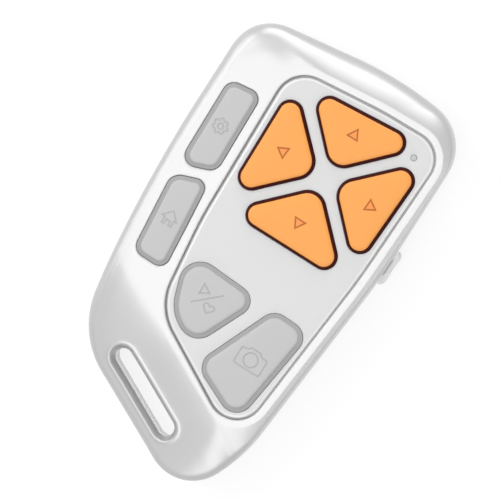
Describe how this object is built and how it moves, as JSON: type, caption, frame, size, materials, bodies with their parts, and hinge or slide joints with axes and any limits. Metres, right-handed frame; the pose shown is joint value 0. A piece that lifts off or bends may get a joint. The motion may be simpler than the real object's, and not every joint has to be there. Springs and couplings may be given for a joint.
{
  "type": "bluetooth camera shutter remote",
  "caption": "Flat hand-held shutter remote with an inlaid face plate, triangular arrow keys, play and camera keys, side keys, a sliding power switch and a lanyard slot.",
  "frame": {"origin": "middle of the flat back face", "axes": "+Z out of the face with the keys, +Y along the body towards the arrow keys, +X towards the power switch"},
  "size_m": [0.0451, 0.0804, 0.0129],
  "materials": {
    "white_shell": "satin white",
    "light_grey_plate": "matte light grey",
    "orange_key": "matte orange",
    "grey_key": "matte grey",
    "dark_plastic": "matte black",
    "board": "green solder mask",
    "steel": "plain",
    "ceramic_part": "matte",
    "light_guide": "milky",
    "contact_brass": "plain"
  },
  "bodies": {
    "housing": {"front_shell": "white_shell", "rear_shell": "white_shell", "face_plate": "light_grey_plate", "switch_up": "dark_plastic", "switch_right": "dark_plastic", "switch_down": "dark_plastic", "switch_left": "dark_plastic", "switch_play": "dark_plastic", "switch_camera": "dark_plastic", "switch_settings": "dark_plastic", "switch_home": "dark_plastic", "circuit_board": "board", "radio_chip": "dark_plastic", "crystal": "steel", "antenna": "ceramic_part", "capacitors": "ceramic_part", "status_led": "light_guide", "light_pipe": "light_guide", "coin_cell": "steel", "contact_positive": "contact_brass", "contact_negative": "contact_brass", "power_switch": "dark_plastic", "case_screws": "steel"},
    "up_key": {"key_up": "orange_key", "plunger_up": "dark_plastic"},
    "right_key": {"key_right": "orange_key", "plunger_right": "dark_plastic"},
    "down_key": {"key_down": "orange_key", "plunger_down": "dark_plastic"},
    "left_key": {"key_left": "orange_key", "plunger_left": "dark_plastic"},
    "play_key": {"key_play": "grey_key", "plunger_play": "dark_plastic"},
    "camera_key": {"key_camera": "grey_key", "plunger_camera": "dark_plastic"},
    "settings_key": {"key_settings": "grey_key", "plunger_settings": "dark_plastic"},
    "home_key": {"key_home": "grey_key", "plunger_home": "dark_plastic"},
    "power_slider": {"power_knob": "white_shell"},
    "battery_cover": {"battery_door": "white_shell"}
  },
  "joints": [
    {"name": "up_press", "type": "slide", "parent": "housing", "child": "up_key", "axis": [0, 0, 1], "range_m": [-0.0005, 0], "stiffness_N_per_m": 1500, "springref_m": 0.0005},
    {"name": "right_press", "type": "slide", "parent": "housing", "child": "right_key", "axis": [0, 0, 1], "range_m": [-0.0005, 0], "stiffness_N_per_m": 1500, "springref_m": 0.0005},
    {"name": "down_press", "type": "slide", "parent": "housing", "child": "down_key", "axis": [0, 0, 1], "range_m": [-0.0005, 0], "stiffness_N_per_m": 1500, "springref_m": 0.0005},
    {"name": "left_press", "type": "slide", "parent": "housing", "child": "left_key", "axis": [0, 0, 1], "range_m": [-0.0005, 0], "stiffness_N_per_m": 1500, "springref_m": 0.0005},
    {"name": "play_press", "type": "slide", "parent": "housing", "child": "play_key", "axis": [0, 0, 1], "range_m": [-0.0005, 0], "stiffness_N_per_m": 1500, "springref_m": 0.0005},
    {"name": "camera_press", "type": "slide", "parent": "housing", "child": "camera_key", "axis": [0, 0, 1], "range_m": [-0.0005, 0], "stiffness_N_per_m": 1500, "springref_m": 0.0005},
    {"name": "settings_press", "type": "slide", "parent": "housing", "child": "settings_key", "axis": [0, 0, 1], "range_m": [-0.0005, 0], "stiffness_N_per_m": 1500, "springref_m": 0.0005},
    {"name": "home_press", "type": "slide", "parent": "housing", "child": "home_key", "axis": [0, 0, 1], "range_m": [-0.0005, 0], "stiffness_N_per_m": 1500, "springref_m": 0.0005},
    {"name": "power_slide", "type": "slide", "parent": "housing", "child": "power_slider", "axis": [0.0413, 0.9991, 0], "range_m": [-0.002, 0]},
    {"name": "battery_cover_turn", "type": "hinge", "parent": "housing", "child": "battery_cover", "pos_m": [-0.00151, 0.01351, 0], "axis": [0, 0, -1], "range_deg": [0, 50]}
  ]
}
